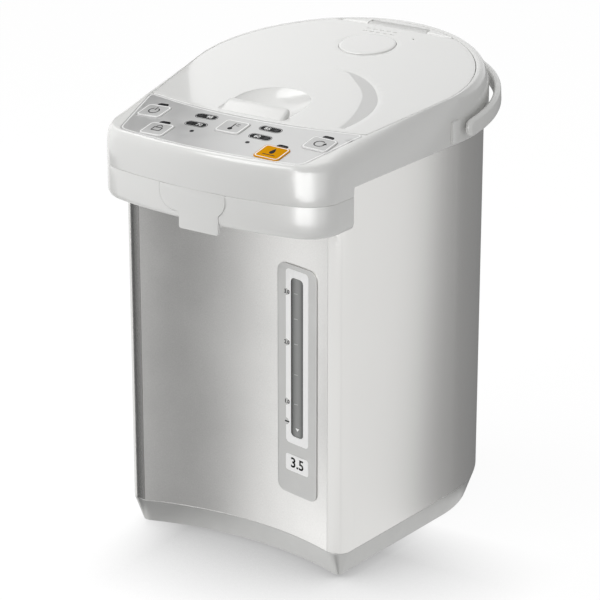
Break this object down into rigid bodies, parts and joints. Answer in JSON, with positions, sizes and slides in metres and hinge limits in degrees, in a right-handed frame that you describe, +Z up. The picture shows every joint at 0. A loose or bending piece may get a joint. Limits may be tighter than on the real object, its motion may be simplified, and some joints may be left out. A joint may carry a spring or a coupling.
{
  "type": "electric thermo pot",
  "caption": "Electric hot water dispensing pot with a hinged latched lid, sloping button deck, spout over a hollowed front, water gauge and folding bail handle.",
  "frame": {"origin": "centre of the overall box at the level of the feet", "axes": "+X to the pot's left as it faces the user, +Y from the spout to the back, +Z up"},
  "size_m": [0.2206, 0.2868, 0.3269],
  "materials": {
    "white_plastic": "glossy moulded",
    "silver_plastic": "satin metallic",
    "dark_plastic": "fine grain",
    "rubber": "soft silicone",
    "screw_steel": "plain",
    "body_steel": "fine vertical grain",
    "clear_plastic": "clear",
    "pot_steel": "polished",
    "insulation": "felted",
    "heater_aluminium": "cast",
    "magnet": "sintered",
    "circuit_board": "lacquered",
    "contact_brass": "plain",
    "label_silver": "satin printed film",
    "button_grey": "soft gloss",
    "button_orange": "soft gloss",
    "light_lens": "dark translucent"
  },
  "bodies": {
    "pot": {"base_skirt": "silver_plastic", "base_plate": "dark_plastic", "feet": "rubber", "base_screws": "screw_steel", "chassis": "dark_plastic", "body_jacket": "body_steel", "front_panel": "body_steel", "gauge_plate": "silver_plastic", "gauge_window": "clear_plastic", "level_tube": "clear_plastic", "inner_pot": "pot_steel", "pot_sleeve": "insulation", "heater_plate": "heater_aluminium", "boil_cutout": "dark_plastic", "water_sensor": "heater_aluminium", "pot_outlet": "rubber", "pump_housing": "white_plastic", "pump_motor": "pot_steel", "riser_hose": "rubber", "upper_hose": "rubber", "anti_tip_valve": "white_plastic", "spout_pipe": "white_plastic", "power_board": "circuit_board", "board_parts": "dark_plastic", "power_inlet": "dark_plastic", "inlet_pins": "contact_brass", "head_ring": "white_plastic", "beak_cover": "white_plastic", "spout_cover": "white_plastic", "control_deck": "white_plastic", "control_label": "label_silver", "control_board": "circuit_board", "touch_switches": "dark_plastic", "indicator_lights": "light_lens", "pot_collar": "white_plastic", "hinge_bracket": "white_plastic", "hinge_pin": "screw_steel", "handle_pivots": "dark_plastic", "handle_stops": "white_plastic"},
    "valve_ball": {"valve_ball": "screw_steel"},
    "steam_ball": {"steam_ball": "screw_steel"},
    "impeller": {"impeller": "dark_plastic"},
    "drive_magnet": {"drive_magnet": "magnet"},
    "power_button": {"power_button": "button_grey"},
    "unlock_button": {"unlock_button": "button_grey"},
    "temp_button": {"temp_button": "button_grey"},
    "reboil_button": {"reboil_button": "button_grey"},
    "dispense_button": {"dispense_button": "button_orange"},
    "lid": {"lid_cover": "white_plastic", "lid_base": "white_plastic", "lid_inner_plate": "pot_steel", "lid_gasket": "rubber", "steam_cap": "white_plastic", "steam_tube": "white_plastic", "latch_pin": "screw_steel"},
    "latch_lever": {"latch_lever": "white_plastic"},
    "latch_bolt": {"latch_bolt": "silver_plastic"},
    "handle": {"handle": "white_plastic"}
  },
  "joints": [
    {"name": "lid_hinge", "type": "hinge", "parent": "pot", "child": "lid", "pos_m": [0, 0.10812, 0.32264], "axis": [-1, 0, 0], "range_deg": [0, 75]},
    {"name": "handle_swing", "type": "hinge", "parent": "pot", "child": "handle", "pos_m": [0, 0.03311, 0.292], "axis": [1, 0, 0], "range_deg": [0, 95]},
    {"name": "latch_slide", "type": "slide", "parent": "lid", "child": "latch_bolt", "axis": [0, 1, 0], "range_m": [-0.00284, 0.00444]},
    {"name": "latch_lift", "type": "hinge", "parent": "lid", "child": "latch_lever", "pos_m": [0, -0.07928, 0.3092], "axis": [1, 0, 0], "range_deg": [-16, 25]},
    {"name": "pump_drive", "type": "hinge", "parent": "pot", "child": "drive_magnet", "pos_m": [0.031, -0.01988, 0.036], "axis": [0, 0, 1], "continuous": true},
    {"name": "impeller_spin", "type": "hinge", "parent": "pot", "child": "impeller", "pos_m": [0.031, -0.01988, 0.044], "axis": [0, 0, 1], "continuous": true},
    {"name": "tip_ball_slide", "type": "slide", "parent": "pot", "child": "valve_ball", "axis": [0, 0, 1], "range_m": [0, 0.014]},
    {"name": "steam_ball_slide", "type": "slide", "parent": "lid", "child": "steam_ball", "axis": [0, 0, 1], "range_m": [0, 0.018]},
    {"name": "power_press", "type": "slide", "parent": "pot", "child": "power_button", "axis": [0.0366, 0.1482, -0.9883], "range_m": [0, 0.0008], "stiffness_N_per_m": 500},
    {"name": "unlock_press", "type": "slide", "parent": "pot", "child": "unlock_button", "axis": [0.026, 0.1483, -0.9886], "range_m": [0, 0.0008], "stiffness_N_per_m": 500},
    {"name": "temp_press", "type": "slide", "parent": "pot", "child": "temp_button", "axis": [0.0002, 0.1483, -0.9889], "range_m": [0, 0.0008], "stiffness_N_per_m": 500},
    {"name": "reboil_press", "type": "slide", "parent": "pot", "child": "reboil_button", "axis": [-0.0362, 0.1482, -0.9883], "range_m": [0, 0.0008], "stiffness_N_per_m": 500},
    {"name": "dispense_press", "type": "slide", "parent": "pot", "child": "dispense_button", "axis": [-0.0249, 0.1483, -0.9886], "range_m": [0, 0.0008], "stiffness_N_per_m": 500}
  ],
  "couplings": [
    {"joint": "latch_lift", "follows": "latch_slide", "rad_per_m": 98.04},
    {"joint": "impeller_spin", "follows": "pump_drive", "ratio": 1}
  ]
}
